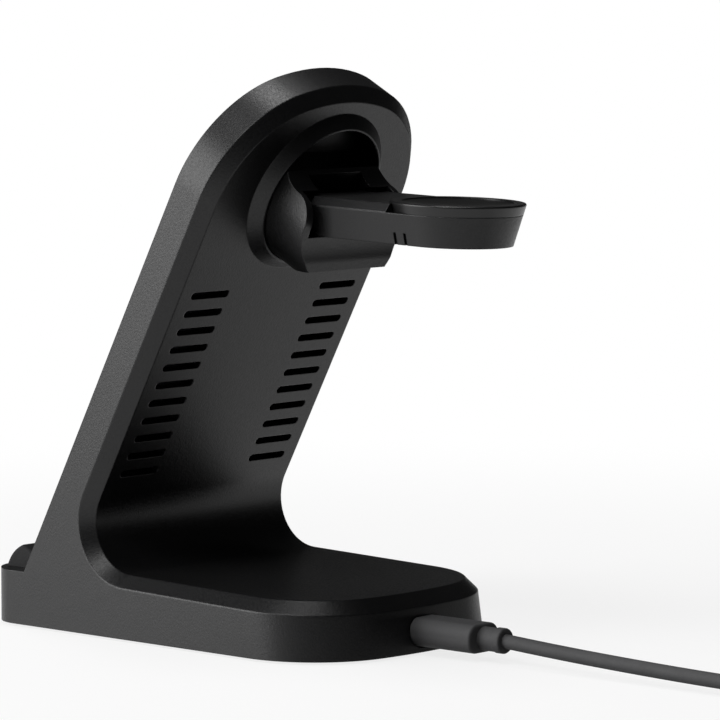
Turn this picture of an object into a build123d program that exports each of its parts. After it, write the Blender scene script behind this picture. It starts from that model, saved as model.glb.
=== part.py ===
from build123d import *
from math import cos, radians, sin, sqrt, tan
import os

os.makedirs("parts", exist_ok=True)

# Stand: a leaning slab with an arched top, chamfered all round its rear face
body_width = 73.8
stand_lean = 61.7  # degrees between the front face and the table
stand_thickness = 11.8
stand_reach = 144.0  # up the front face, from the toe to the top of the arch
stand_root = 3.0  # how far the slab runs down into the base
arch_radius = 53.7
shoulder_radius = 30.0
edge_chamfer = 3.1
edge_round = 0.6  # softens both edges of the chamfer
rear_wall = 2.0
side_wall = 3.0
pocket_low = 5.0  # lower end of the stand's hollow, up the front face

# Base: a tongue that falls gently to its rounded rear end, with a toe in front
toe_height = 13.5
toe_depth = 14.2
toe_corner = 10.0
base_reach = 102.6  # from the foot of the front face to the rear end
base_height = 16.7  # top face produced to the foot of the front face
base_fall = 1.6  # degrees
end_radius = 110.0
end_corner = 24.0
end_draft = 9.0  # degrees
end_wall = 4.2
crook_radius = 12.2  # round between the stand's rear face and the base top
base_ceiling = 11.2
foot_lift = 0.6  # what the rubber feet stand proud

# Front panel and the ledge pad on the toe
panel_inset = 1.2
panel_thickness = 2.0
panel_fit = 0.15
pad_width = 64.0
pad_rise = 2.6  # back of the pad's top, up the front face, where the panel starts
pad_depth = 7.6  # of its top, out from the front face
pad_margin = 2.8  # from the front of the toe
pad_bulge = 1.0
pad_round = 0.8

# Rear vents
vent_length = 13.2
vent_height = 2.0
vent_pitch = 5.16
vent_rows = 11
vent_columns = 2
vent_apart = 46.4
vent_middle = 61.9

# Hub ring on the rear face and the well inside it
hub_drop = 28.0  # hub centre below the top of the arch
hub_radius = 21.8
hub_rise = 2.8
hub_round = 0.35  # on both edges of the rim
hub_taper = 45.0  # degrees
well_radius = 18.3
well_wall = 2.0
well_floor = 6.5  # from the front face
wire_bore = 2.5
wire_slot_length = 20.0
wire_slot_width = 5.0
wire_slot_height = 5.0
wire_slot_y = 8.0

# Bottom cover, feet and screws
cover_inset = 1.4
cover_thickness = 1.8
cover_fit = 0.15
rubber_radius = 5.0
rubber_seat = 0.6
rubber_fit = 0.05
rubber_apart = 50.0
rubber_front_y = 3.0
rubber_rear_y = 86.0
boss_radius = 3.2
cover_screw_apart = 56.0
cover_screw_front_y = 18.0
cover_screw_rear_y = 76.0
screw_radius = 1.2
screw_length = 5.5
screw_head_radius = 2.3
screw_head_height = 1.0
screw_play = 0.1

# Coils and their shields
phone_coil_up = 70.0
phone_coil_radius = 23.0
phone_coil_bore = 10.0
phone_coil_thickness = 1.0
phone_ferrite_radius = 24.0
ferrite_thickness = 0.8
earbud_coil_y = 62.0
earbud_coil_radius = 16.0
earbud_coil_bore = 7.0
earbud_coil_thickness = 0.9
earbud_ferrite_radius = 17.0
coil_room = 0.3

# Circuit board and USB-C socket
port_height = 5.0  # socket axis above the housing's bottom
board_width = 40.0
board_length = 36.0
board_thickness = 1.2
board_end = 7.4  # from the rear end of the base
post_radius = 1.8
post_margin = 4.0
chip_size = 6.0
chip_height = 1.0
chip_apart = 14.0
chip_y = 72.0
socket_width = 8.94
socket_height = 3.26
socket_length = 7.4
socket_sheet = 0.3
socket_back = 0.5
socket_play = 0.18
socket_set = 0.1  # front of the socket behind the recess floor
tongue_width = 6.6
tongue_thickness = 0.7
tongue_length = 5.0
port_recess = 2.0  # depth of the plug's recess in the end wall
recess_play = 0.35

# Watch arm, in its own frame at the hinge: y out along the arm, z up
hinge_drop = 0.9  # below the hub's centre
hinge_out = 20.6  # out from the front face
arm_droop = 1.9  # degrees below level
arm_reach = 38.65  # from hinge to puck centre
knuckle_radius = 4.85  # also half the arm's thickness
arm_root_half = 12.2  # half width of the underside at the root
arm_end = 4.4  # from the pin, where the arm's full width begins
knuckle_half = 9.2  # half width of the barrel round the pin
arm_draft = 16.0  # degrees
cup_radius = 13.5  # of the underside round the puck
ring_low = 2.75  # joint between the shell and what lies on it
puck_top = 5.4
arm_wall = 1.6
arm_pocket_y = 8.0
deck_slope = 35.0  # degrees, of the deck's sides
deck_end = 9.5  # from the puck centre, where the deck's tips stop
ring_width = 2.2
ring_fit = 0.1
ring_round = 0.4
face_drop = 0.3
dish_radius = 170.0
dish_depth = 0.5
groove_floor = 12.6  # half width left between the grooves
groove_cut = 4.0
groove_width = 0.8
groove_height = 2.9
groove_apart = 3.2
groove_y = 32.6
watch_coil_radius = 11.0
watch_coil_bore = 5.2
watch_coil_thickness = 1.0
watch_magnet_radius = 4.8
watch_magnet_thickness = 2.4
arm_boss_radius = 2.4
arm_screw_apart = 14.0
arm_screw_y = 15.0
arm_screw_radius = 0.9
arm_screw_grip = 1.2
arm_screw_head_radius = 1.8
arm_screw_head_height = 1.0
wire_way_width = 6.0
wire_way_height = 4.0

# Hinge and its bracket
bracket_play = 0.1
cheek_half = 15.7  # half the clear width between the cheeks
cheek_boss_radius = 4.0  # round the pin, from each cheek to the barrel
arm_tilt = 14.0  # degrees, how far the arm swings up
cheek_radius = 6.5  # of the round lobe about the pin
arm_gap = 0.3  # between the arm and the bracket
bracket_tip_rise = 8.0  # from the hub's centre up to where the bracket leaves its rim
bracket_tip_out = 14.5
chin_lip = 9.2  # upper end of the chin's blunt nose below the hub's centre
chin_out = 30.0
chin_drop = 13.9  # flat underside of the chin below the pin
chin_blunt = 0.7
slot_reach = 40.0
pin_radius = 1.5
pin_play = 0.05
pin_blind = 15.8  # how far the pin's hole reaches into the near cheek
pin_set = 0.6  # how far the pin lies below the outer cheek's surface
sleeve_wall = 0.7
sleeve_inner = 4.0
bracket_screw_apart = 18.0
bracket_screw_drop = 11.0  # below the hub's centre
bracket_screw_radius = 1.1
bracket_screw_grip = 5.0
bracket_screw_head_radius = 2.0
bracket_screw_head_height = 1.2

# Supply cable with a USB-C plug on each end
cable_diameter = 3.5
cable_grip = 0.8  # how far the cable runs into the plug's end
plug_gap = 0.7  # between the plug and the recess floor
grip_width = 11.4
grip_height = 7.0
grip_corner = 3.2
grip_length = 18.7
grip_round = 0.7
relief_diameter = 5.8
relief_length = 4.5
bead_diameter = 6.2
bead_length = 2.2
bead_round = 0.5
plug_shell_width = 8.25
plug_shell_height = 2.4
plug_shell_length = 6.6
plug_shell_sheet = 0.35
plug_shell_root = 3.0  # how far the metal shell runs into the grip
cable_route = [(140.4, 4.14), (160.4, 3.3), (180.4, 2.7), (198.4, 2.42), (214.0, 2.35)]
coil_mean_radius = 19.0
coil_layers = 4
coil_overlap = 0.1
tie_arc = 27.0  # degrees
tie_thickness = 1.2
tail_length = 14.0

# Shared directions, points and planes
lean = radians(stand_lean)
fall = radians(base_fall)
droop = radians(arm_droop)
draft = radians(end_draft)
flare = tan(radians(arm_draft))
puck_low_radius = cup_radius + (ring_low + knuckle_radius) * flare
puck_radius = puck_low_radius + (puck_top - ring_low) * flare
arm_joint_half = arm_root_half + (ring_low + knuckle_radius) * flare
hub_up = stand_reach - hub_drop
hinge_up = hub_up - hinge_drop
up = Vector(0, cos(lean), sin(lean))
out = Vector(0, sin(lean), -cos(lean))
hinge_y = hinge_up * cos(lean) + hinge_out * sin(lean)
arm_rear = hinge_y + (arm_reach + puck_radius) * cos(droop) + puck_top * sin(droop)
foot_y = (toe_depth - arm_rear) / 2
foot = Vector(0, foot_y, foot_lift + toe_height)
hinge = foot + up * hinge_up + out * hinge_out
base_plane = Plane((0, foot_y, foot_lift))
side_plane = Plane((0, foot_y, foot_lift), x_dir=(0, 1, 0), z_dir=(1, 0, 0))
stand_plane = Plane(foot, x_dir=(-1, 0, 0), z_dir=out)
lean_side = Plane(foot, x_dir=up, z_dir=(-1, 0, 0))
hub_plane = Plane(foot + up * hub_up + out * stand_thickness, x_dir=(-1, 0, 0), z_dir=out)
arm_plane = Plane(hinge, x_dir=(1, 0, 0), z_dir=(0, sin(droop), cos(droop)))
arm_side = Plane(hinge, x_dir=(0, cos(droop), -sin(droop)), z_dir=(1, 0, 0))
arm_low = arm_plane.offset(-knuckle_radius)
arm_joint = arm_plane.offset(ring_low)
under_base = Plane((0, foot_y, foot_lift), x_dir=(1, 0, 0), z_dir=(0, 0, -1))
under_arm = Plane(arm_low.origin, x_dir=(1, 0, 0), z_dir=-arm_plane.z_dir)
port_plane = Plane((0, foot_y + base_reach, foot_lift + port_height), x_dir=(-1, 0, 0), z_dir=(0, 1, 0))
recess_plane = port_plane.offset(-port_recess)
plug_plane = recess_plane.offset(plug_gap)

# Where the stand's rear face, produced, meets the base top
crook_up = base_height - toe_height + stand_thickness * (cos(lean) - sin(lean) * tan(fall))
crook_up = crook_up / (sin(lean) + cos(lean) * tan(fall))
crook_y = crook_up * cos(lean) + stand_thickness * sin(lean)
crook_z = base_height - crook_y * tan(fall)
end_z = base_height - base_reach * tan(fall)
crook_point = Vector(0, foot_y + crook_y, foot_lift + crook_z)
top_plane = Plane(crook_point, x_dir=(1, 0, 0), z_dir=(0, sin(fall), cos(fall)))

# Heights that follow from what is stacked
board_top = port_height - socket_height / 2
board_low = board_top - board_thickness
coil_pocket = ferrite_thickness + earbud_coil_thickness
knuckle_bore = pin_radius + pin_play + sleeve_wall
ring_bore = puck_low_radius - ring_width
face_radius = ring_bore - ring_fit
head_set = screw_head_height + screw_play
arm_head_set = arm_screw_head_height + screw_play


def tongue(half_width, low, tip, tip_radius, corner_radius, low_radius):
    # A straight-sided outline with a bowed tip and round corners, all tangent
    side = half_width - corner_radius
    centre = tip - tip_radius
    rise = centre + sqrt((tip_radius - corner_radius) ** 2 - side**2)
    grow = tip_radius / (tip_radius - corner_radius)
    join = (side * grow, centre + (rise - centre) * grow)
    with BuildSketch() as outline:
        with BuildLine():
            Line((-half_width, low), (half_width, low))
            Line((half_width, low), (half_width, rise))
            TangentArc((half_width, rise), join, tangent=(0, 1))
            ThreePointArc(join, (0, tip), (-join[0], join[1]))
            TangentArc((-half_width, rise), (-join[0], join[1]), tangent=(0, 1))
            Line((-half_width, rise), (-half_width, low))
        make_face()
        if low_radius > 0:
            fillet(outline.vertices().group_by(Axis.Y)[0], radius=low_radius)
    return outline.sketch


def stand_outline(inset, low):
    reach = stand_reach - inset
    shoulder = shoulder_radius - inset
    return tongue(body_width / 2 - inset, low, reach, arch_radius - inset, shoulder, 0)


def base_outline(inset, end_inset):
    reach = base_reach - end_inset
    bow = end_radius - end_inset
    corner = end_corner - end_inset
    toe = toe_corner - inset
    return tongue(body_width / 2 - inset, inset - toe_depth, reach, bow, corner, toe)


def pairs(apart, *levels):
    return [(side * apart / 2, level) for level in levels for side in (-1, 1)]


stand_face = stand_outline(0, -stand_root)
pocket_face = stand_outline(side_wall, pocket_low)
panel_seat_face = stand_outline(panel_inset, pad_rise)
panel_face = stand_outline(panel_inset + panel_fit, pad_rise + panel_fit)
base_face = tongue(body_width / 2, -toe_depth, base_reach, end_radius, end_corner, 0)
base_pocket_face = base_outline(side_wall, end_wall)
cover_seat_face = base_outline(cover_inset, cover_inset)
cover_face = base_outline(cover_inset + cover_fit, cover_inset + cover_fit)
cover_screws = pairs(cover_screw_apart, cover_screw_front_y, cover_screw_rear_y)
rubber_spots = pairs(rubber_apart, rubber_front_y, rubber_rear_y)
arm_screw_spots = pairs(arm_screw_apart, arm_screw_y)
bracket_screw_spots = pairs(bracket_screw_apart, hub_up - bracket_screw_drop)
groove_middle = 2 * groove_floor + groove_cut
groove_spots = pairs(groove_middle, groove_y - groove_apart / 2, groove_y + groove_apart / 2)

# Rear shell: stand and base in one moulding, hollow from the front and from below
with BuildPart() as rear_shell:
    with BuildSketch(side_plane):
        with BuildLine():
            Polyline(
                (-toe_depth, 0),
                (-toe_depth, toe_height),
                (0, toe_height),
                (crook_y, crook_z),
                (base_reach, end_z),
                (base_reach, 0),
                close=True,
            )
        make_face()
    extrude(amount=body_width / 2, both=True)
    fillet(rear_shell.edges().filter_by(Axis.Z).group_by(Axis.Y)[0], radius=toe_corner)
    with BuildSketch(base_plane):
        add(base_face)
    extrude(amount=base_height / cos(draft), dir=(0, -sin(draft), cos(draft)), mode=Mode.INTERSECT)
    with BuildSketch(stand_plane):
        add(stand_face)
    extrude(amount=stand_thickness)
    fillet(rear_shell.edges().filter_by(Axis.X).sort_by_distance(crook_point)[0], radius=crook_radius)
    rear_face = rear_shell.faces().filter_by(stand_plane).sort_by(Axis(foot, out))[-1]
    crook_face = rear_shell.faces().filter_by(GeomType.CYLINDER).sort_by_distance(crook_point)[0]
    top_face = rear_shell.faces().filter_by(top_plane)[0]
    rims = rear_face.edges() + crook_face.edges() + top_face.edges()
    chamfer(rims.filter_by(Axis.X, reverse=True), length=edge_chamfer)
    bevel_edges = rear_shell.edges(Select.LAST)
    fillet(bevel_edges.filter_by(lambda edge: edge.length > 2 * edge_chamfer), radius=edge_round)
    with BuildSketch(hub_plane):
        Circle(hub_radius)
    extrude(amount=hub_rise, taper=hub_taper)
    # hollows
    with BuildSketch(stand_plane):
        add(panel_seat_face)
    extrude(amount=panel_thickness, mode=Mode.SUBTRACT)
    with BuildSketch(stand_plane):
        add(pocket_face)
    extrude(amount=stand_thickness - rear_wall, mode=Mode.SUBTRACT)
    with BuildSketch(base_plane):
        add(cover_seat_face)
    extrude(amount=cover_thickness, mode=Mode.SUBTRACT)
    with BuildSketch(base_plane):
        add(base_pocket_face)
    extrude(amount=base_ceiling, mode=Mode.SUBTRACT)
    with BuildSketch(base_plane.offset(base_ceiling)):
        with Locations((0, earbud_coil_y)):
            Circle(earbud_ferrite_radius + coil_room)
    extrude(amount=coil_pocket, mode=Mode.SUBTRACT)
    with BuildSketch(base_plane.offset(base_ceiling)):
        with Locations((0, wire_slot_y)):
            SlotOverall(wire_slot_length, wire_slot_width)
    extrude(amount=wire_slot_height, mode=Mode.SUBTRACT)
    # well for the arm's bracket
    with BuildSketch(stand_plane.offset(well_floor - well_wall)):
        with Locations((0, hub_up)):
            Circle(well_radius + well_wall)
    extrude(amount=stand_thickness - well_floor)
    with BuildSketch(stand_plane.offset(well_floor)):
        with Locations((0, hub_up)):
            Circle(well_radius)
    extrude(amount=stand_thickness + hub_rise - well_floor, mode=Mode.SUBTRACT)
    hub_rim = rear_shell.faces().filter_by(stand_plane).sort_by(Axis(foot, out))[-1]
    fillet(hub_rim.edges(), radius=hub_round)
    with BuildSketch(stand_plane.offset(well_floor)):
        with Locations((0, hinge_up)):
            Circle(wire_bore)
        with Locations(*bracket_screw_spots):
            Circle(bracket_screw_radius + screw_play)
    extrude(amount=-well_wall, mode=Mode.SUBTRACT)
    # vents
    with BuildSketch(stand_plane.offset(stand_thickness)):
        with Locations((0, vent_middle)):
            with GridLocations(vent_apart, vent_pitch, vent_columns, vent_rows):
                SlotOverall(vent_length, vent_height)
    extrude(amount=-rear_wall, mode=Mode.SUBTRACT)
    # screw bosses
    with BuildSketch(base_plane.offset(cover_thickness)):
        with Locations(*cover_screws):
            Circle(boss_radius)
            Circle(screw_radius, mode=Mode.SUBTRACT)
    extrude(amount=base_ceiling - cover_thickness)
    # port
    with BuildSketch(recess_plane):
        RectangleRounded(
            grip_width + 2 * recess_play,
            grip_height + 2 * recess_play,
            grip_corner + recess_play,
        )
    extrude(amount=port_recess, mode=Mode.SUBTRACT)
    with BuildSketch(recess_plane):
        SlotOverall(socket_width + 2 * socket_play, socket_height + 2 * socket_play)
    extrude(amount=-end_wall, mode=Mode.SUBTRACT)
rear_shell.part.label = "rear_shell"
export_step(rear_shell.part, "parts/rear_shell.step")

# Front panel
with BuildPart() as front_panel:
    with BuildSketch(stand_plane):
        add(panel_face)
    extrude(amount=panel_thickness)
front_panel.part.label = "front_panel"
export_step(front_panel.part, "parts/front_panel.step")

# Ledge pad
pad_back = (pad_rise * cos(lean), toe_height + pad_rise * sin(lean))
pad_peak = (pad_back[0] - pad_depth * sin(lean), pad_back[1] + pad_depth * cos(lean))
pad_front = (pad_margin - toe_depth, toe_height)
with BuildPart() as ledge_pad:
    with BuildSketch(side_plane):
        with BuildLine():
            SagittaArc(pad_front, pad_peak, pad_bulge)
            Polyline(pad_peak, pad_back, (0, toe_height), pad_front)
        make_face()
    extrude(amount=pad_width / 2, both=True)
    fillet(ledge_pad.edges().filter_by(Axis.X).sort_by(Axis.Z)[-1], radius=pad_round)
    pad_ends = ledge_pad.faces().filter_by(Axis.X).edges()
    pad_level = foot.Z + pad_round + pad_bulge
    fillet(pad_ends.filter_by(lambda edge: edge.center().Z > pad_level), radius=pad_round)
ledge_pad.part.label = "ledge_pad"
export_step(ledge_pad.part, "parts/ledge_pad.step")

# Bottom cover
with BuildPart() as bottom_cover:
    with BuildSketch(base_plane):
        add(cover_face)
    extrude(amount=cover_thickness)
    with BuildSketch(base_plane.offset(cover_thickness)):
        with Locations((0, base_reach - board_end - board_length / 2)):
            with GridLocations(board_width - 2 * post_margin, board_length - 2 * post_margin, 2, 2):
                Circle(post_radius)
    extrude(amount=board_low - cover_thickness)
    with BuildSketch(base_plane):
        with Locations(*rubber_spots):
            Circle(rubber_radius + rubber_fit)
    extrude(amount=rubber_seat, mode=Mode.SUBTRACT)
    with Locations(under_base):
        with Locations(*[(x, -y) for x, y in cover_screws]):
            CounterBoreHole(screw_radius + screw_play, screw_head_radius + screw_play, head_set)
bottom_cover.part.label = "bottom_cover"
export_step(bottom_cover.part, "parts/bottom_cover.step")

# Rubber feet
with BuildPart() as rubber_feet:
    with BuildSketch(base_plane.offset(-foot_lift)):
        with Locations(*rubber_spots):
            Circle(rubber_radius)
    extrude(amount=foot_lift + rubber_seat)
rubber_feet.part.label = "rubber_feet"
export_step(rubber_feet.part, "parts/rubber_feet.step")

# Screws of the bottom cover
with BuildPart() as bottom_screws:
    with BuildSketch(base_plane.offset(screw_play)):
        with Locations(*cover_screws):
            Circle(screw_head_radius)
    extrude(amount=screw_head_height)
    with BuildSketch(base_plane.offset(head_set)):
        with Locations(*cover_screws):
            Circle(screw_radius)
    extrude(amount=screw_length)
bottom_screws.part.label = "bottom_screws"
export_step(bottom_screws.part, "parts/bottom_screws.step")

# Charging coils and their shields
with BuildPart() as phone_coil:
    with BuildSketch(stand_plane.offset(panel_thickness)):
        with Locations((0, phone_coil_up)):
            Circle(phone_coil_radius)
            Circle(phone_coil_bore, mode=Mode.SUBTRACT)
    extrude(amount=phone_coil_thickness)
phone_coil.part.label = "phone_coil"
export_step(phone_coil.part, "parts/phone_coil.step")

with BuildPart() as phone_ferrite:
    with BuildSketch(stand_plane.offset(panel_thickness + phone_coil_thickness)):
        with Locations((0, phone_coil_up)):
            Circle(phone_ferrite_radius)
    extrude(amount=ferrite_thickness)
phone_ferrite.part.label = "phone_ferrite"
export_step(phone_ferrite.part, "parts/phone_ferrite.step")

with BuildPart() as earbud_coil:
    with BuildSketch(base_plane.offset(base_ceiling + ferrite_thickness)):
        with Locations((0, earbud_coil_y)):
            Circle(earbud_coil_radius)
            Circle(earbud_coil_bore, mode=Mode.SUBTRACT)
    extrude(amount=earbud_coil_thickness)
earbud_coil.part.label = "earbud_coil"
export_step(earbud_coil.part, "parts/earbud_coil.step")

with BuildPart() as earbud_ferrite:
    with BuildSketch(base_plane.offset(base_ceiling)):
        with Locations((0, earbud_coil_y)):
            Circle(earbud_ferrite_radius)
    extrude(amount=ferrite_thickness)
earbud_ferrite.part.label = "earbud_ferrite"
export_step(earbud_ferrite.part, "parts/earbud_ferrite.step")

# Circuit board, its chips and the USB-C socket
with BuildPart() as main_board:
    with BuildSketch(base_plane.offset(board_low)):
        with Locations((0, base_reach - board_end - board_length / 2)):
            Rectangle(board_width, board_length)
    extrude(amount=board_thickness)
main_board.part.label = "main_board"
export_step(main_board.part, "parts/main_board.step")

with BuildPart() as board_chips:
    with BuildSketch(base_plane.offset(board_top)):
        with Locations(*pairs(chip_apart, chip_y)):
            Rectangle(chip_size, chip_size)
    extrude(amount=chip_height)
board_chips.part.label = "board_chips"
export_step(board_chips.part, "parts/board_chips.step")

socket_front = recess_plane.offset(-socket_set)
socket_floor = socket_front.offset(socket_back - socket_length)
with BuildPart() as usb_socket:
    with BuildSketch(socket_front):
        SlotOverall(socket_width, socket_height)
    extrude(amount=-socket_length)
    with BuildSketch(socket_floor):
        SlotOverall(socket_width - 2 * socket_sheet, socket_height - 2 * socket_sheet)
    extrude(amount=socket_length, mode=Mode.SUBTRACT)
    with BuildSketch(socket_floor):
        Rectangle(tongue_width, tongue_thickness)
    extrude(amount=tongue_length)
usb_socket.part.label = "usb_socket"
export_step(usb_socket.part, "parts/usb_socket.step")

# Arm bracket: a plug in the hub's well with two cheeks and a chin under the arm
arm_angle = lean + droop
along = Vector(cos(arm_angle), sin(arm_angle))
below = Vector(-sin(arm_angle), cos(arm_angle))
tilt_angle = arm_angle - radians(arm_tilt)
tilted = Vector(cos(tilt_angle), sin(tilt_angle))
tilted_below = Vector(-sin(tilt_angle), cos(tilt_angle))
axle = Vector(hinge_up, hinge_out)
room = knuckle_radius + arm_gap
lobe_top = axle + Vector(cheek_radius, 0)
lobe_mid = axle + Vector(cheek_radius, cheek_radius).normalized() * cheek_radius
lobe_rear = axle + Vector(0, cheek_radius)
bracket_tip = (hub_up + bracket_tip_rise, bracket_tip_out)
chin_top = (hub_up - chin_lip, chin_out - chin_blunt)
chin_level = hinge.Z - foot.Z - chin_drop
chin_nose = ((chin_level + chin_out * cos(lean)) / sin(lean), chin_out)
chin_root = ((chin_level + well_floor * cos(lean)) / sin(lean), well_floor)
with BuildPart() as arm_bracket:
    with BuildSketch(stand_plane.offset(well_floor)):
        with Locations((0, hub_up)):
            Circle(well_radius - bracket_play)
    extrude(amount=chin_out)
    with BuildSketch(lean_side):
        with BuildLine():
            TangentArc(lobe_top, bracket_tip, tangent=(0, -1))
            ThreePointArc(lobe_top, lobe_mid, lobe_rear)
            TangentArc(lobe_rear, chin_top, tangent=(-1, 0))
            Polyline(chin_top, chin_nose, chin_root, (bracket_tip[0], well_floor), bracket_tip)
        make_face()
    extrude(amount=well_radius, both=True, mode=Mode.INTERSECT)
    with BuildSketch(lean_side):
        with Locations((hinge_up, hinge_out)):
            Circle(room)
        with BuildLine():
            Polyline(
                axle,
                axle + below * room,
                axle + below * room + along * slot_reach,
                axle + Vector(slot_reach, slot_reach),
                axle + Vector(slot_reach, -room),
                axle + Vector(0, -room),
                close=True,
            )
        make_face()
    extrude(amount=knuckle_half + arm_gap, both=True, mode=Mode.SUBTRACT)
    with BuildSketch(lean_side):
        with BuildLine():
            Polyline(
                axle + below * room,
                axle + below * room + along * slot_reach,
                axle + tilted * slot_reach - tilted_below * room,
                axle - tilted_below * room,
                close=True,
            )
        make_face()
        with Locations((hinge_up, hinge_out)):
            Circle(cheek_boss_radius, mode=Mode.SUBTRACT)
    extrude(amount=cheek_half, both=True, mode=Mode.SUBTRACT)
    with BuildSketch(arm_side):
        Circle(pin_radius)
    extrude(amount=pin_blind, mode=Mode.SUBTRACT)
    with BuildSketch(arm_side):
        Circle(pin_radius)
    extrude(amount=-well_radius, mode=Mode.SUBTRACT)
    with BuildSketch(stand_plane.offset(well_floor)):
        with Locations((0, hinge_up)):
            Circle(wire_bore)
    extrude(amount=hinge_out - well_floor, mode=Mode.SUBTRACT)
    with BuildSketch(stand_plane.offset(well_floor)):
        with Locations(*bracket_screw_spots):
            Circle(bracket_screw_radius)
    extrude(amount=bracket_screw_grip, mode=Mode.SUBTRACT)
arm_bracket.part.label = "arm_bracket"
export_step(arm_bracket.part, "parts/arm_bracket.step")

with BuildPart() as bracket_screws:
    with BuildSketch(stand_plane.offset(well_floor - well_wall)):
        with Locations(*bracket_screw_spots):
            Circle(bracket_screw_head_radius)
    extrude(amount=-bracket_screw_head_height)
    with BuildSketch(stand_plane.offset(well_floor - well_wall)):
        with Locations(*bracket_screw_spots):
            Circle(bracket_screw_radius)
    extrude(amount=well_wall + bracket_screw_grip)
bracket_screws.part.label = "bracket_screws"
export_step(bracket_screws.part, "parts/bracket_screws.step")

# Hinge pin and the two sleeves it turns in
with BuildPart() as hinge_pin:
    with BuildSketch(arm_side.offset(pin_blind)):
        Circle(pin_radius)
    extrude(amount=-pin_blind - well_radius + bracket_play + pin_set)
hinge_pin.part.label = "hinge_pin"
export_step(hinge_pin.part, "parts/hinge_pin.step")

with BuildPart() as hinge_sleeve:
    with BuildSketch(arm_side.offset(sleeve_inner), arm_side.offset(-knuckle_half)):
        Circle(knuckle_bore)
        Circle(pin_radius + pin_play, mode=Mode.SUBTRACT)
    extrude(amount=knuckle_half - sleeve_inner)
hinge_sleeve.part.label = "hinge_sleeve"
export_step(hinge_sleeve.part, "parts/hinge_sleeve.step")

# Watch arm: a hollow shell below and a deck that closes it
with BuildSketch() as beside_barrel_sketch:
    with Locations((0, arm_end)):
        Rectangle(body_width, arm_reach, align=(Align.CENTER, Align.MAX))
        Rectangle(2 * knuckle_half, arm_reach, align=(Align.CENTER, Align.MAX), mode=Mode.SUBTRACT)
beside_barrel = beside_barrel_sketch.sketch

with BuildPart() as arm_shell:
    with BuildSketch(arm_low):
        with Locations((0, arm_reach)):
            Circle(cup_radius)
        with Locations((0, -knuckle_radius)):
            Rectangle(2 * arm_root_half, knuckle_radius, align=(Align.CENTER, Align.MIN))
        make_hull()
    extrude(amount=knuckle_radius + ring_low, taper=-arm_draft)
    with BuildSketch(arm_side):
        Circle(knuckle_radius)
        Rectangle(arm_rear, 2 * knuckle_radius, align=(Align.MIN, Align.CENTER))
    extrude(amount=body_width / 2, both=True, mode=Mode.INTERSECT)
    with BuildSketch(arm_joint):
        with Locations((0, arm_reach)):
            Circle(cup_radius - arm_wall)
        with Locations((0, arm_pocket_y)):
            Rectangle(2 * (arm_root_half - arm_wall), arm_wall, align=(Align.CENTER, Align.MIN))
        make_hull()
    extrude(amount=arm_wall - knuckle_radius - ring_low, mode=Mode.SUBTRACT)
    with BuildSketch(arm_low):
        with Locations(*arm_screw_spots):
            Circle(arm_boss_radius)
    extrude(amount=knuckle_radius + ring_low)
    with Locations(under_arm):
        with Locations(*[(x, -y) for x, y in arm_screw_spots]):
            CounterBoreHole(arm_screw_radius + screw_play, arm_screw_head_radius + screw_play, arm_head_set)
    with BuildSketch(arm_low):
        with Locations(*groove_spots):
            Rectangle(groove_cut, groove_width)
    extrude(amount=groove_height, mode=Mode.SUBTRACT)
    with BuildSketch(arm_plane):
        add(beside_barrel)
    extrude(amount=2 * knuckle_radius, both=True, mode=Mode.SUBTRACT)
    with BuildSketch(arm_side):
        Circle(knuckle_bore)
    extrude(amount=body_width / 2, both=True, mode=Mode.SUBTRACT)
    with BuildSketch(arm_plane):
        with Locations((0, -knuckle_radius)):
            Rectangle(wire_way_width, knuckle_radius + arm_pocket_y, align=(Align.CENTER, Align.MIN))
    extrude(amount=wire_way_height / 2, both=True, mode=Mode.SUBTRACT)
arm_shell.part.label = "arm_shell"
export_step(arm_shell.part, "parts/arm_shell.step")

with BuildPart() as arm_deck:
    with BuildSketch(arm_joint):
        with Locations((0, arm_reach)):
            Circle(puck_low_radius)
        with Locations((0, -knuckle_radius)):
            Rectangle(2 * arm_joint_half, knuckle_radius, align=(Align.CENTER, Align.MIN))
        make_hull()
    extrude(amount=knuckle_radius - ring_low, taper=deck_slope)
    with BuildSketch(arm_side):
        Circle(knuckle_radius)
        Rectangle(arm_rear, 2 * knuckle_radius + arm_wall, align=(Align.MIN, Align.CENTER))
    extrude(amount=body_width / 2, both=True, mode=Mode.INTERSECT)
    with BuildSketch(arm_plane):
        add(beside_barrel)
    extrude(amount=2 * knuckle_radius, both=True, mode=Mode.SUBTRACT)
    with BuildSketch(arm_joint):
        with Locations((0, arm_reach)):
            Circle(puck_low_radius + ring_fit)
    extrude(amount=knuckle_radius - ring_low, taper=-arm_draft, mode=Mode.SUBTRACT)
    with BuildSketch(arm_joint):
        with Locations((0, arm_reach - deck_end)):
            Rectangle(body_width, arm_rear, align=(Align.CENTER, Align.MIN))
    extrude(amount=knuckle_radius, mode=Mode.SUBTRACT)
    with BuildSketch(arm_joint):
        with Locations(*arm_screw_spots):
            Circle(arm_screw_radius)
    extrude(amount=arm_screw_grip, mode=Mode.SUBTRACT)
arm_deck.part.label = "arm_deck"
export_step(arm_deck.part, "parts/arm_deck.step")

with BuildPart() as arm_screws:
    with BuildSketch(arm_low.offset(screw_play)):
        with Locations(*arm_screw_spots):
            Circle(arm_screw_head_radius)
    extrude(amount=arm_screw_head_height)
    with BuildSketch(arm_low.offset(arm_head_set)):
        with Locations(*arm_screw_spots):
            Circle(arm_screw_radius)
    extrude(amount=knuckle_radius + ring_low - arm_head_set + arm_screw_grip)
arm_screws.part.label = "arm_screws"
export_step(arm_screws.part, "parts/arm_screws.step")

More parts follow.
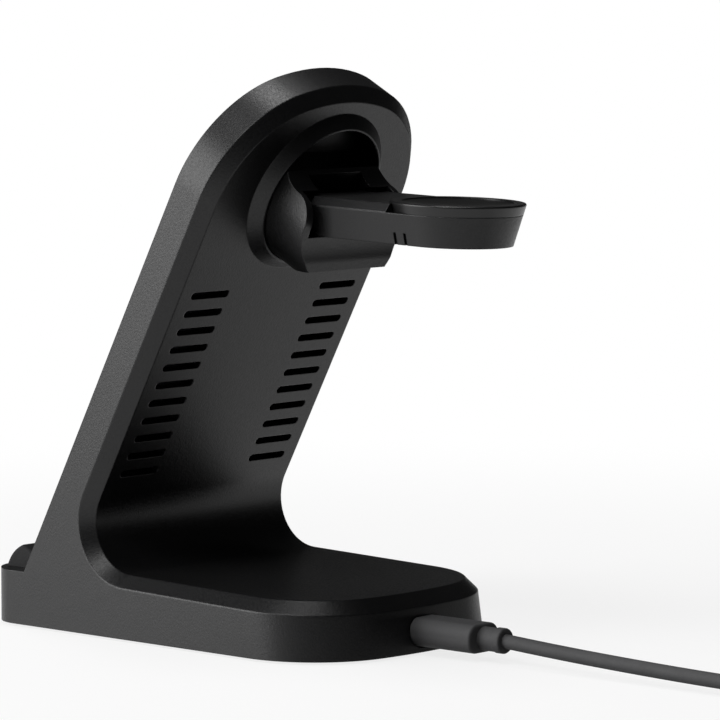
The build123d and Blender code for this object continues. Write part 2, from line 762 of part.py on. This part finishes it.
# Watch puck
with BuildPart() as puck_ring:
    with BuildSketch(arm_joint):
        with Locations((0, arm_reach)):
            Circle(puck_low_radius)
    extrude(amount=puck_top - ring_low, taper=-arm_draft)
    fillet(puck_ring.faces().sort_by(Axis(hinge, arm_plane.z_dir))[-1].edges(), radius=ring_round)
    with BuildSketch(arm_joint):
        with Locations((0, arm_reach)):
            Circle(ring_bore)
    extrude(amount=puck_top, mode=Mode.SUBTRACT)
puck_ring.part.label = "puck_ring"
export_step(puck_ring.part, "parts/puck_ring.step")

with BuildPart() as puck_face:
    with BuildSketch(arm_joint):
        with Locations((0, arm_reach)):
            Circle(face_radius)
    extrude(amount=puck_top - ring_low - face_drop)
    with Locations(arm_plane.offset(puck_top - face_drop)):
        with Locations((0, arm_reach, dish_radius - dish_depth)):
            Sphere(dish_radius, mode=Mode.SUBTRACT)
puck_face.part.label = "puck_face"
export_step(puck_face.part, "parts/puck_face.step")

with BuildPart() as watch_coil:
    with BuildSketch(arm_joint):
        with Locations((0, arm_reach)):
            Circle(watch_coil_radius)
            Circle(watch_coil_bore, mode=Mode.SUBTRACT)
    extrude(amount=-watch_coil_thickness)
watch_coil.part.label = "watch_coil"
export_step(watch_coil.part, "parts/watch_coil.step")

with BuildPart() as watch_ferrite:
    with BuildSketch(arm_joint.offset(-watch_coil_thickness)):
        with Locations((0, arm_reach)):
            Circle(watch_coil_radius)
            Circle(watch_coil_bore, mode=Mode.SUBTRACT)
    extrude(amount=-ferrite_thickness)
watch_ferrite.part.label = "watch_ferrite"
export_step(watch_ferrite.part, "parts/watch_ferrite.step")

with BuildPart() as watch_magnet:
    with BuildSketch(arm_joint):
        with Locations((0, arm_reach)):
            Circle(watch_magnet_radius)
    extrude(amount=-watch_magnet_thickness)
watch_magnet.part.label = "watch_magnet"
export_step(watch_magnet.part, "parts/watch_magnet.step")

# Plug in the socket
relief_plane = plug_plane.offset(grip_length)
bead_plane = relief_plane.offset(relief_length)
with BuildPart() as cable_plug:
    with BuildSketch(plug_plane):
        RectangleRounded(grip_width, grip_height, grip_corner)
    extrude(amount=grip_length)
    fillet(cable_plug.faces().sort_by(Axis.Y)[-1].edges(), radius=grip_round)
    with BuildSketch(relief_plane):
        Circle(relief_diameter / 2)
    extrude(amount=relief_length)
    with BuildSketch(bead_plane):
        Circle(bead_diameter / 2)
    extrude(amount=bead_length)
    fillet(cable_plug.faces().sort_by(Axis.Y)[-1].edges(), radius=bead_round)
    with BuildSketch(plug_plane):
        SlotOverall(plug_shell_width, plug_shell_height)
    extrude(amount=plug_shell_root, mode=Mode.SUBTRACT)
    with BuildSketch(bead_plane.offset(bead_length)):
        Circle(cable_diameter / 2)
    extrude(amount=-cable_grip, mode=Mode.SUBTRACT)
cable_plug.part.label = "cable_plug"
export_step(cable_plug.part, "parts/cable_plug.step")

with BuildPart() as plug_shell:
    with BuildSketch(plug_plane.offset(-plug_shell_length)):
        SlotOverall(plug_shell_width, plug_shell_height)
        SlotOverall(
            plug_shell_width - 2 * plug_shell_sheet,
            plug_shell_height - 2 * plug_shell_sheet,
            mode=Mode.SUBTRACT,
        )
    extrude(amount=plug_shell_length + plug_shell_root)
plug_shell.part.label = "plug_shell"
export_step(plug_shell.part, "parts/plug_shell.step")

# Cable from the plug to the coil it is tied up in
cable_start = bead_plane.offset(bead_length - cable_grip).origin
route = [cable_start] + [Vector(0, foot_y + y, foot_lift + z) for y, z in cable_route]
radii = []
for before, corner, after in zip(route, route[1:], route[2:]):
    run = min((corner - before).length, (after - corner).length)
    turn = radians((corner - before).get_angle(after - corner))
    radii.append(0.45 * run / tan(turn / 2))
print("cable radii", [round(radius, 1) for radius in radii])
with BuildPart() as cable_tube:
    with BuildLine() as cable_path:
        FilletPolyline(*route, radius=radii)
    with BuildSketch(Plane(cable_path.line @ 0, x_dir=(1, 0, 0), z_dir=cable_path.line % 0)):
        Circle(cable_diameter / 2)
    sweep()
cable_tube.part.label = "cable_tube"
export_step(cable_tube.part, "parts/cable_tube.step")

coil_inner = coil_mean_radius - cable_diameter / 2
coil_outer = coil_mean_radius + cable_diameter / 2
coil_centre = Vector(-coil_inner, route[-1].Y, 0)
coil_axis = Axis(coil_centre, (0, 0, 1))
coil_plane = Plane(coil_centre, x_dir=(0, 1, 0), z_dir=(1, 0, 0))
coil_height = coil_layers * cable_diameter
coil_middle = (coil_mean_radius, tie_thickness + coil_height / 2)
with BuildPart() as cable_coil:
    with BuildSketch(coil_plane):
        with Locations(coil_middle):
            RectangleRounded(2 * cable_diameter, coil_height, cable_diameter / 2 - coil_overlap)
    revolve(axis=coil_axis)
cable_coil.part.label = "cable_coil"
export_step(cable_coil.part, "parts/cable_coil.step")

with BuildPart() as cable_tie:
    with BuildSketch(coil_plane):
        with Locations(coil_middle):
            Rectangle(2 * (cable_diameter + tie_thickness), coil_height + 2 * tie_thickness)
            Rectangle(2 * cable_diameter + coil_overlap, coil_height + coil_overlap, mode=Mode.SUBTRACT)
    revolve(axis=coil_axis, revolution_arc=tie_arc)
cable_tie.part.label = "cable_tie"
export_step(cable_tie.part, "parts/cable_tie.step")

# Plug at the far end, lying beside the coil
tail_end = Vector(coil_centre.X - coil_outer, coil_centre.Y, grip_height / 2)
far_shift = tail_end - Vector(0, tail_length, 0) - bead_plane.offset(bead_length).origin
far_end = Plane(tail_end, x_dir=(-1, 0, 0), z_dir=(0, 1, 0))
with BuildPart() as far_plug:
    add(cable_plug.part.moved(Location(far_shift)))
    with BuildSketch(far_end):
        Circle(cable_diameter / 2)
    extrude(amount=-tail_length - cable_grip)
far_plug.part.label = "far_plug"
export_step(far_plug.part, "parts/far_plug.step")

with BuildPart() as far_plug_shell:
    add(plug_shell.part.moved(Location(far_shift)))
far_plug_shell.part.label = "far_plug_shell"
export_step(far_plug_shell.part, "parts/far_plug_shell.step")
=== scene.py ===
import bpy
from math import cos, pi, radians, sin
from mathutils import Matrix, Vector


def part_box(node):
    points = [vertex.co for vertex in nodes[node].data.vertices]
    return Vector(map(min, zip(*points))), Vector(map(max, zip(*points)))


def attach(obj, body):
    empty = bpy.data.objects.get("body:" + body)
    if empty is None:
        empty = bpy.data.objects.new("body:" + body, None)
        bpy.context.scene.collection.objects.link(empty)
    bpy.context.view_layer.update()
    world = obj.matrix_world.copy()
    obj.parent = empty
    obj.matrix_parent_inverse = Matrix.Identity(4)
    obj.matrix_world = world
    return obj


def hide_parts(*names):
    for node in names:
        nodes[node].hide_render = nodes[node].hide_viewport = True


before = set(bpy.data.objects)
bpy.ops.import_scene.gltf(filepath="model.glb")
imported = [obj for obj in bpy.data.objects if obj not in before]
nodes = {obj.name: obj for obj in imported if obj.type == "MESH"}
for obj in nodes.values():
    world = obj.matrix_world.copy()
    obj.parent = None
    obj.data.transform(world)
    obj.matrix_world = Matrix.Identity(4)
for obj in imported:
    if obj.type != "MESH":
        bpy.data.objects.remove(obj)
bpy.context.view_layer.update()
scene = bpy.context.scene
scene.view_settings.view_transform = "Standard"
mm = 0.001
print("frame loaded:", len(nodes), "nodes")


shadingLook = {
    "sliverMm": 0.02,  # narrower strips are closed, because they crease the shine on a smooth face
    "edgeDegrees": 25.0,  # sharper folds stay crisp
    "faceWeight": 50,  # neutral between large and small faces
}
for node in nodes.values():
    node.modifiers.new("joinSlivers", "WELD").merge_threshold = shadingLook["sliverMm"] * mm
    node.modifiers.new("keepEdges", "EDGE_SPLIT").split_angle = radians(shadingLook["edgeDegrees"])
    node.modifiers.new("evenShading", "WEIGHTED_NORMAL").weight = shadingLook["faceWeight"]
print("shading evened")


photoCamera = {
    "target": (-20.458, 5.216, 67.370),  # mm, the middle of the picture
    "distance": 1048.84,  # mm
    "yaw": 48.40,  # degrees from +Y towards +X
    "pitch": 5.35,  # degrees above level
    "lens": 209.408,  # mm
    "sensor": 36.0,  # mm
    "clip": (0.05, 100.0),  # metres
}
yaw, pitch = radians(photoCamera["yaw"]), radians(photoCamera["pitch"])
backward = Vector((sin(yaw) * cos(pitch), cos(yaw) * cos(pitch), sin(pitch)))
cameraData = bpy.data.cameras.new("photoCamera")
cameraData.lens = photoCamera["lens"]
cameraData.sensor_width = photoCamera["sensor"]
cameraData.clip_start, cameraData.clip_end = photoCamera["clip"]
camera = bpy.data.objects.new("photoCamera", cameraData)
camera.location = (Vector(photoCamera["target"]) + backward * photoCamera["distance"]) * mm
camera.rotation_mode = "QUATERNION"
camera.rotation_quaternion = (-backward).to_track_quat("-Z", "Y")
scene.collection.objects.link(camera)
scene.camera = camera
print("camera placed")


def linear(hexColour):  # sRGB hex to the linear numbers that sockets take
    levels = [int(hexColour[i : i + 2], 16) / 255 for i in (1, 3, 5)]
    return [v / 12.92 if v <= 0.04045 else ((v + 0.055) / 1.055) ** 2.4 for v in levels] + [1.0]


def addNode(tree, kind, links=None, **settings):  # settings are attributes, links are sockets or values
    made = tree.nodes.new(kind)
    for name, value in settings.items():
        setattr(made, name, value)
    for name, value in (links or {}).items():
        if isinstance(value, bpy.types.NodeSocket):
            tree.links.new(value, made.inputs[name])
        else:
            made.inputs[name].default_value = value
    return made


def startMaterial(name):
    material = bpy.data.materials.new(name)
    material.use_nodes = True
    tree = material.node_tree
    shader = tree.nodes["Principled BSDF"]
    place = addNode(tree, "ShaderNodeTexCoord").outputs["Object"]
    return material, tree, shader, place


def perMm(size):  # texture scale whose features are about this many millimetres across
    return 1 / (size * mm)


waveRepeat = 2 * pi / 20  # a wave texture at scale 1 repeats after this length


def mouldedSurface(name, look):  # moulded plastic or rubber: mottled tone, spark-eroded grain, eased edges
    material, tree, shader, place = startMaterial(name)
    mottle = addNode(
        tree,
        "ShaderNodeTexNoise",
        {"Vector": place, "Scale": perMm(look["mottleMm"]), "Detail": look["mottleDetail"]},
    )
    grain = addNode(
        tree,
        "ShaderNodeTexNoise",
        {"Vector": place, "Scale": perMm(look["grainMm"]), "Detail": look["grainDetail"]},
    )
    tone = addNode(
        tree,
        "ShaderNodeMix",
        {"Factor": mottle.outputs["Fac"], "A": linear(look["colour"]), "B": linear(look["paler"])},
        data_type="RGBA",
    )
    gloss = addNode(
        tree,
        "ShaderNodeMapRange",
        {
            "Value": grain.outputs["Fac"],
            "From Min": look["grainSpan"][0],
            "From Max": look["grainSpan"][1],
            "To Min": look["roughness"] - look["roughSpread"],
            "To Max": look["roughness"] + look["roughSpread"],
        },
    )
    eased = addNode(tree, "ShaderNodeBevel", {"Radius": look["edgeMm"] * mm}, samples=look["edgeSamples"])
    relief = addNode(
        tree,
        "ShaderNodeBump",
        {
            "Height": grain.outputs["Fac"],
            "Distance": look["depthMm"] * mm,
            "Normal": eased.outputs["Normal"],
        },
    )
    tree.links.new(tone.outputs["Result"], shader.inputs["Base Color"])
    tree.links.new(gloss.outputs["Result"], shader.inputs["Roughness"])
    tree.links.new(relief.outputs["Normal"], shader.inputs["Normal"])
    shader.inputs["IOR"].default_value = look["ior"]
    shader.inputs["Specular IOR Level"].default_value = look["specular"]
    return material


def wear(material, *names):
    for name in names:
        nodes[name].material_slots[0].material = material


# ABS, injection moulded in a spark-eroded tool: black, with a dry even sheen and a fine sandy grain
housingLook = {
    "colour": "#0e0e0f",
    "paler": "#131314",
    "roughness": 0.4,
    "roughSpread": 0.06,
    "mottleMm": 14.0,
    "mottleDetail": 4.0,
    "grainMm": 0.5,  # the real grain is about 0.2, drawn coarser so that it shows
    "grainDetail": 2.0,
    "grainSpan": (0.3, 0.7),  # the part of the noise that changes the gloss
    "depthMm": 0.038,
    "edgeMm": 0.35,
    "edgeSamples": 6,
    "ior": 1.53,
    "specular": 0.4,
}
mouldedAbs = mouldedSurface("mouldedAbsBlack", housingLook)
wear(mouldedAbs, "rear_shell", "bottom_cover", "arm_bracket", "arm_shell", "arm_deck")

# ABS panel with a sprayed soft-touch coat: the flattest black on the part
panelLook = dict(
    housingLook, colour="#111112", paler="#161617", roughness=0.58, grainMm=0.9, depthMm=0.006
)
wear(mouldedSurface("softTouchPanel", panelLook), "front_panel")

# silicone rubber, pressed: dull, with a little dust in the surface
rubberLook = dict(
    housingLook, colour="#151516", paler="#1e1e1f", roughness=0.72, mottleMm=3.0, depthMm=0.02, ior=1.41
)
wear(mouldedSurface("pressedSilicone", rubberLook), "ledge_pad", "rubber_feet")

# polycarbonate, moulded in a polished tool: smoother than the housing
puckLook = dict(
    housingLook,
    colour="#101010",
    paler="#151516",
    roughness=0.34,
    roughSpread=0.03,
    depthMm=0.004,
    ior=1.58,
)
wear(mouldedSurface("polishedPuckPlastic", puckLook), "puck_ring", "puck_face")

# acetal sleeves, turned: pale, waxy
sleeveLook = dict(housingLook, colour="#c9c8c2", paler="#d6d5cf", roughness=0.38, ior=1.48)
wear(mouldedSurface("turnedAcetal", sleeveLook), "hinge_sleeve")

# epoxy moulding compound of the chips: dull charcoal
chipLook = dict(housingLook, colour="#2b2b2d", paler="#343436", roughness=0.6, edgeMm=0.1)
wear(mouldedSurface("mouldedEpoxy", chipLook), "board_chips")

# sintered ferrite: dry dark grey with a gritty break
ferriteLook = dict(
    housingLook, colour="#34353a", paler="#45464b", roughness=0.66, mottleMm=1.5, depthMm=0.02
)
wear(mouldedSurface("sinteredFerrite", ferriteLook), "phone_ferrite", "earbud_ferrite", "watch_ferrite")

# glass-fibre board under green solder mask: smooth, with small patches of a paler green
boardLook = dict(
    housingLook, colour="#14462b", paler="#1d5a38", roughness=0.32, mottleMm=1.2, depthMm=0.004
)
wear(mouldedSurface("solderMaskBoard", boardLook), "main_board")

# thermoplastic elastomer of the cable and its plugs, extruded and overmoulded: dark grey, almost matt
jacketLook = dict(
    housingLook,
    colour="#434344",
    paler="#4c4c4d",
    roughness=0.72,
    mottleMm=5.0,
    grainMm=0.6,
    depthMm=0.01,
)
jacket = mouldedSurface("extrudedElastomer", jacketLook)
wear(jacket, "cable_plug", "far_plug", "cable_tube", "cable_coil")


def metalSurface(name, look):  # drawn or plated metal: fine scratches stretched along one direction
    material, tree, shader, place = startMaterial(name)
    stretched = addNode(tree, "ShaderNodeMapping", {"Vector": place, "Scale": look["stretch"]})
    scratch = addNode(
        tree,
        "ShaderNodeTexNoise",
        {
            "Vector": stretched.outputs["Vector"],
            "Scale": perMm(look["grainMm"]),
            "Detail": look["grainDetail"],
        },
    )
    tone = addNode(
        tree,
        "ShaderNodeMix",
        {"Factor": scratch.outputs["Fac"], "A": linear(look["colour"]), "B": linear(look["paler"])},
        data_type="RGBA",
    )
    relief = addNode(
        tree,
        "ShaderNodeBump",
        {"Height": scratch.outputs["Fac"], "Distance": look["depthMm"] * mm},
    )
    tree.links.new(tone.outputs["Result"], shader.inputs["Base Color"])
    tree.links.new(relief.outputs["Normal"], shader.inputs["Normal"])
    shader.inputs["Metallic"].default_value = 1.0
    shader.inputs["Roughness"].default_value = look["roughness"]
    return material


# zinc-plated steel, cold headed or ground: cool grey with fine drag lines
steelLook = {
    "colour": "#9a9b9c",
    "paler": "#b4b5b6",
    "roughness": 0.32,
    "grainMm": 0.3,
    "grainDetail": 3.0,
    "depthMm": 0.003,
    "stretch": (0.1, 1, 1),
}
wear(metalSurface("platedSteel", steelLook), "hinge_pin", "bottom_screws", "bracket_screws", "arm_screws")

# stamped steel under bright nickel: smooth and a little warm
nickelLook = dict(steelLook, colour="#b9b6ae", paler="#c8c5bd", roughness=0.24, stretch=(1, 0.1, 1))
wear(metalSurface("nickelPlate", nickelLook), "usb_socket", "plug_shell", "far_plug_shell", "watch_magnet")


def woundWire(name, look, centre):  # enamelled wire wound flat: rings round the coil's centre
    material, tree, shader, place = startMaterial(name)
    middle = addNode(tree, "ShaderNodeVectorMath", {0: place, 1: centre}, operation="SUBTRACT")
    rings = addNode(
        tree,
        "ShaderNodeTexWave",
        {"Vector": middle.outputs["Vector"], "Scale": perMm(look["ringMm"]) * waveRepeat},
        wave_type="RINGS",
        rings_direction="SPHERICAL",
    )
    tone = addNode(
        tree,
        "ShaderNodeMix",
        {"Factor": rings.outputs["Fac"], "A": linear(look["colour"]), "B": linear(look["paler"])},
        data_type="RGBA",
    )
    relief = addNode(
        tree,
        "ShaderNodeBump",
        {"Height": rings.outputs["Fac"], "Distance": look["depthMm"] * mm},
    )
    tree.links.new(tone.outputs["Result"], shader.inputs["Base Color"])
    tree.links.new(relief.outputs["Normal"], shader.inputs["Normal"])
    shader.inputs["Metallic"].default_value = 1.0
    shader.inputs["Roughness"].default_value = look["roughness"]
    return material


# copper wire, enamelled and wound: warm brown with brighter rings
wireLook = {
    "colour": "#7a3a1c",
    "paler": "#c57a4a",
    "roughness": 0.35,
    "ringMm": 5.0265,  # about six times as wide as a real wire of 0.8
    "depthMm": 0.4,
}
for coilName in ("phone_coil", "earbud_coil", "watch_coil"):
    low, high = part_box(coilName)
    wear(woundWire("enamelledCopper_" + coilName, wireLook, (low + high) / 2), coilName)


def wovenBand(name, look):  # hook-and-loop tie: crossed threads
    material, tree, shader, place = startMaterial(name)
    threads = [
        addNode(
            tree,
            "ShaderNodeTexWave",
            {
                "Vector": place,
                "Scale": perMm(look["threadMm"]) * waveRepeat,
                "Distortion": look["unevenness"],
            },
            bands_direction=direction,
        ).outputs["Fac"]
        for direction in ("Z", "DIAGONAL")
    ]
    crossed = addNode(tree, "ShaderNodeMath", {0: threads[0], 1: threads[1]}, operation="MULTIPLY")
    tone = addNode(
        tree,
        "ShaderNodeMix",
        {"Factor": crossed.outputs["Value"], "A": linear(look["colour"]), "B": linear(look["paler"])},
        data_type="RGBA",
    )
    relief = addNode(
        tree,
        "ShaderNodeBump",
        {"Height": crossed.outputs["Value"], "Distance": look["depthMm"] * mm},
    )
    tree.links.new(tone.outputs["Result"], shader.inputs["Base Color"])
    tree.links.new(relief.outputs["Normal"], shader.inputs["Normal"])
    shader.inputs["Roughness"].default_value = look["roughness"]
    return material


# nylon, woven: dull black with a soft crossed relief
tieLook = {
    "colour": "#161617",
    "paler": "#303032",
    "roughness": 0.85,
    "threadMm": 4.3982,  # about six times as wide as a real thread of 0.7
    "unevenness": 0.6,
    "depthMm": 0.15,
}
wear(wovenBand("wovenNylonTie", tieLook), "cable_tie")
print("materials on", len(nodes), "nodes")


cableLook = {
    "diameter": 3.5,  # mm, as every size here but the length
    "length": 1.0,  # m, with the part that is wound up
    "route": [  # y and z, from the plug to the coil
        (69.028, 5.6),
        (83.528, 4.74),
        (103.528, 3.9),
        (123.528, 3.3),
        (141.528, 3.02),
        (157.128, 2.95),
    ],
    "innerRadius": 17.25,
    "outerRadius": 20.75,
    "firstLayer": 2.95,
    "innerTurns": 4,
    "outerTurns": 3.5,
    "pointsPerTurn": 16,
    "shiftSteps": 2,  # points in which it moves over by one cable
    "crossSteps": 4,  # points before the inside ends, where it crosses to the outside
    "dropSteps": 6,  # points before a turn ends, where the outside starts a step down
    "tailY": 154.078,
    "tailZ": 3.5,
    "tailRun": 2.0,  # straight before the far plug
    "splineOrder": 3,
    "smoothness": 8,  # pieces between two points, and round the cable
}


def cablePoints(look):
    points = [(0.0, y, z) for y, z in look["route"]]
    perTurn = look["pointsPerTurn"]
    shift, cross = look["shiftSteps"], look["crossSteps"]
    spread = 1 / cos(pi / perTurn)  # the spline runs inside its points by this much
    centreX, centreY = -look["innerRadius"], look["route"][-1][0]
    pitchUp = look["diameter"]
    innerEnd = look["innerTurns"] * perTurn
    total = int(innerEnd + look["outerTurns"] * perTurn)
    for step in range(1, total + 1):
        turn, part = divmod(step, perTurn)
        if step <= innerEnd - cross:  # up the inside, each turn climbing at its end
            radius = look["innerRadius"]
            climb = max(0, part - (perTurn - shift)) / shift
            level = min(turn + climb, look["innerTurns"] - 1)
        elif step <= innerEnd:  # across to the outside on the top layer
            across = min(1, (step - innerEnd + cross) / shift)
            radius = look["innerRadius"] + (look["outerRadius"] - look["innerRadius"]) * across
            level = look["innerTurns"] - 1
        else:  # down the outside, each turn stepping down before the climbs
            radius = look["outerRadius"]
            downTurn, downPart = divmod(step - innerEnd, perTurn)
            drop = min(1, max(0, downPart - (perTurn - look["dropSteps"])) / shift)
            level = look["innerTurns"] - 1 - downTurn - drop
        angle = 2 * pi * step / perTurn
        points.append((
            centreX + radius * spread * cos(angle),
            centreY + radius * spread * sin(angle),
            look["firstLayer"] + pitchUp * level,
        ))
    tailX = centreX - look["outerRadius"]
    points.append((tailX, look["tailY"] + look["tailRun"], look["tailZ"]))
    points.append((tailX, look["tailY"], look["tailZ"]))
    return points


cableCurve = bpy.data.curves.new("supplyCable", "CURVE")
cableCurve.dimensions = "3D"
cableCurve.bevel_depth = cableLook["diameter"] / 2 * mm
cableCurve.bevel_resolution = cableLook["smoothness"]
cableCurve.use_fill_caps = True
spline = cableCurve.splines.new("NURBS")
cableRun = cablePoints(cableLook)
spline.points.add(len(cableRun) - 1)
for point, spot in zip(spline.points, cableRun):
    point.co = (*(v * mm for v in spot), 1.0)
spline.order_u = cableLook["splineOrder"]
spline.use_endpoint_u = True
spline.resolution_u = cableLook["smoothness"]
supplyCable = bpy.data.objects.new("supplyCable", cableCurve)
scene.collection.objects.link(supplyCable)
cableCurve.materials.append(jacket)
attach(supplyCable, "stand")
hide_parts("cable_tube", "cable_coil")
print("cable laid with", len(cableRun), "points")


floorLook = {
    "half": 30.0,  # metres
    "colour": "#fafafa",
    "bounce": "#8c8c8c",  # what the part gets back from the card
    "shadowShare": 0.2,
    "shadowReach": (0.1, 0.45),  # metres from the part, where the shadow fades out
    "shade": (-0.035, 0.095, 0.0),  # painted shade: the centre of a spot, beyond the base's rear end, where the card's white is dimmed for gloss to stand in for the part's shadow
    "shadeReach": (0.02, 0.16),
    "shadeShine": 0.4,  # how white gloss sees the card in the painted shade
    "sweep": (-0.75, -0.66, 0.0),  # from the camera towards the paper sweep
    "left": (0.66, -0.75, 0.0),  # the camera's left
    "nearEdge": (-0.45, -0.2),  # the card ends on the camera's side, and gloss sees the dark room there
    "rightEdge": (-0.6, -0.3),
    "edgeShine": 0.1,
}
floorMesh = bpy.data.meshes.new("studioFloor")
half = floorLook["half"]
corners = [(-half, -half, 0), (half, -half, 0), (half, half, 0), (-half, half, 0)]
floorMesh.from_pydata(corners, [], [(0, 1, 2, 3)])
floor = bpy.data.objects.new("studioFloor", floorMesh)
scene.collection.objects.link(floor)

# paper card, matt: white to the eye, with a light shadow under the part
paper = bpy.data.materials.new("whitePaper")
paper.use_nodes = True
tree = paper.node_tree
tree.nodes.clear()
path = addNode(tree, "ShaderNodeLightPath").outputs
place = addNode(tree, "ShaderNodeTexCoord").outputs["Object"]
away = addNode(tree, "ShaderNodeVectorMath", {0: place}, operation="LENGTH").outputs["Value"]
# painted shade: distance from the spot where gloss sees the card dimmed as if it lay in the part's shadow
shaded = addNode(
    tree, "ShaderNodeVectorMath", {0: place, 1: floorLook["shade"]}, operation="DISTANCE"
).outputs["Value"]
beyond = addNode(
    tree, "ShaderNodeVectorMath", {0: place, 1: floorLook["sweep"]}, operation="DOT_PRODUCT"
).outputs["Value"]
leftward = addNode(
    tree, "ShaderNodeVectorMath", {0: place, 1: floorLook["left"]}, operation="DOT_PRODUCT"
).outputs["Value"]
spans = {
    "shade": (shaded, floorLook["shadeReach"], floorLook["shadeShine"]),
    "near": (beyond, floorLook["nearEdge"], floorLook["edgeShine"]),
    "right": (leftward, floorLook["rightEdge"], floorLook["edgeShine"]),
    "shadow": (away, floorLook["shadowReach"], 1 - floorLook["shadowShare"]),
}
fades = {  # each rises from its own start to 1 over its span
    name: addNode(
        tree,
        "ShaderNodeMapRange",
        {"Value": value, "From Min": span[0], "From Max": span[1], "To Min": start},
        interpolation_type="SMOOTHSTEP",
    ).outputs["Result"]
    for name, (value, span, start) in spans.items()
}
edges = addNode(
    tree, "ShaderNodeMath", {0: fades["near"], 1: fades["right"]}, operation="MULTIPLY"
).outputs["Value"]
# how white gloss sees the card: dimmed by the painted shade spot and at the card's edges
shine = addNode(
    tree, "ShaderNodeMath", {0: fades["shade"], 1: edges}, operation="MULTIPLY"
).outputs["Value"]
seen = addNode(
    tree,
    "ShaderNodeMath",
    {0: path["Is Camera Ray"], 1: path["Is Transmission Ray"]},
    operation="MAXIMUM",
).outputs["Value"]
plain = addNode(
    tree, "ShaderNodeMath", {0: seen, 1: fades["shadow"]}, operation="MULTIPLY"
).outputs["Value"]
share = addNode(
    tree, "ShaderNodeMath", {0: plain, 1: path["Is Glossy Ray"]}, operation="MAXIMUM"
).outputs["Value"]
strength = addNode(
    tree, "ShaderNodeMix", {"Factor": path["Is Glossy Ray"], "A": 1.0, "B": shine}
).outputs["Result"]
card = addNode(
    tree,
    "ShaderNodeMix",
    {"Factor": path["Is Diffuse Ray"], "A": linear(floorLook["colour"]), "B": linear(floorLook["bounce"])},
    data_type="RGBA",
)
matt = addNode(tree, "ShaderNodeBsdfDiffuse", {"Color": card.outputs["Result"]})
white = addNode(tree, "ShaderNodeEmission", {"Color": (1, 1, 1, 1), "Strength": strength})
both = addNode(
    tree,
    "ShaderNodeMixShader",
    {0: share, 1: matt.outputs["BSDF"], 2: white.outputs["Emission"]},
)
addNode(tree, "ShaderNodeOutputMaterial", {"Surface": both.outputs["Shader"]})
floorMesh.materials.append(paper)
print("floor laid")

# room: dim, with a white paper sweep behind the part for gloss to see; the camera sees white all round
roomLook = {
    "level": 0.02,
    "sweep": floorLook["sweep"],
    "sweepSide": (0.7, 0.97),  # cosines, from the sweep's edge to where it is full
    "sweepTop": (0.0, 0.13),  # sines of the height at which it fades
    "sweepShine": 0.8,  # how white gloss sees it
}
room = bpy.data.worlds.new("studioRoom")
scene.world = room
room.use_nodes = True
tree = room.node_tree
tree.nodes.clear()
path = addNode(tree, "ShaderNodeLightPath").outputs
toward = addNode(tree, "ShaderNodeTexCoord").outputs["Generated"]
facing = addNode(
    tree, "ShaderNodeVectorMath", {0: toward, 1: roomLook["sweep"]}, operation="DOT_PRODUCT"
).outputs["Value"]
height = addNode(tree, "ShaderNodeSeparateXYZ", {"Vector": toward}).outputs["Z"]
side, top = roomLook["sweepSide"], roomLook["sweepTop"]
across = addNode(
    tree,
    "ShaderNodeMapRange",
    {"Value": facing, "From Min": side[0], "From Max": side[1], "To Max": roomLook["sweepShine"]},
    interpolation_type="SMOOTHSTEP",
).outputs["Result"]
below = addNode(
    tree,
    "ShaderNodeMapRange",
    {"Value": height, "From Min": top[0], "From Max": top[1], "To Min": 1.0, "To Max": 0.0},
    interpolation_type="SMOOTHSTEP",
).outputs["Result"]
sweep = addNode(tree, "ShaderNodeMath", {0: across, 1: below}, operation="MULTIPLY").outputs["Value"]
shine = addNode(
    tree, "ShaderNodeMath", {0: sweep, 1: path["Is Glossy Ray"]}, operation="MULTIPLY"
).outputs["Value"]
seen = addNode(
    tree,
    "ShaderNodeMath",
    {0: path["Is Camera Ray"], 1: path["Is Transmission Ray"]},
    operation="MAXIMUM",
).outputs["Value"]
lit = addNode(tree, "ShaderNodeMath", {0: seen, 1: shine}, operation="MAXIMUM").outputs["Value"]
strength = addNode(
    tree, "ShaderNodeMath", {0: lit, 1: roomLook["level"]}, operation="MAXIMUM"
).outputs["Value"]
backdrop = addNode(tree, "ShaderNodeBackground", {"Color": (1, 1, 1, 1), "Strength": strength})
addNode(tree, "ShaderNodeOutputWorld", {"Surface": backdrop.outputs["Background"]})

lampAim = Vector((0, 0, 0.06))  # metres, the point that every lamp faces
softboxes = {  # metres and watts
    "sideKey": {"place": (1.05, -0.75, 0.36), "size": 1.1, "power": 20.5},
    "topLight": {"place": (-0.09, -0.06, 0.95), "size": 0.3, "power": 2.4},
    "frontLight": {"place": (0.62, 0.14, 0.9), "size": 0.35, "power": 3.4},
}
for name, box in softboxes.items():
    lamp = bpy.data.lights.new(name, "AREA")
    lamp.shape = "SQUARE"
    lamp.size = box["size"]
    lamp.energy = box["power"]
    holder = bpy.data.objects.new(name, lamp)
    holder.location = box["place"]
    holder.rotation_mode = "QUATERNION"
    holder.rotation_quaternion = (lampAim - holder.location).to_track_quat("-Z", "Y")
    holder.visible_camera = False
    scene.collection.objects.link(holder)
print("studio lit by", len(softboxes), "softboxes")
